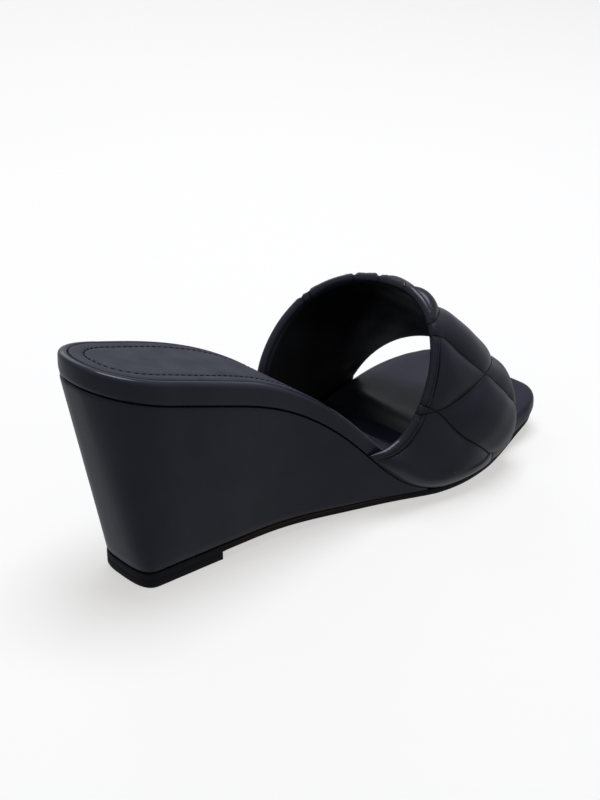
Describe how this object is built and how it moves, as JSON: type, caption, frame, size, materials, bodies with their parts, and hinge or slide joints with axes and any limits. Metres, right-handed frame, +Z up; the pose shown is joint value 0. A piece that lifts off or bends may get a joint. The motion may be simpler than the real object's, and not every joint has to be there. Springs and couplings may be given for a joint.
{
  "type": "wedge mule",
  "caption": "Open-toe slip-on wedge mule with a padded quilted strap, a covered footbed with a sock, a tapered wedge heel and a thin outsole.",
  "frame": {"origin": "centre of the bounding box at floor level, under the shoe", "axes": "+Y from heel to toe, +X to the outer (lateral) side of this right shoe, +Z up"},
  "size_m": [0.097, 0.226, 0.0935],
  "materials": {
    "top_lift": "matt black rubber",
    "outsole": "satin black rubber",
    "wedge": "smooth black leather cover, soft satin",
    "footbed": "smooth black leather cover, soft satin",
    "sock": "matt black leather sock",
    "strap": "soft black nappa leather, padded and quilted"
  },
  "bodies": {
    "root": {"top_lift": "top_lift", "outsole": "outsole", "wedge": "wedge", "footbed": "footbed", "sock": "sock", "strap": "strap"}
  },
  "joints": []
}
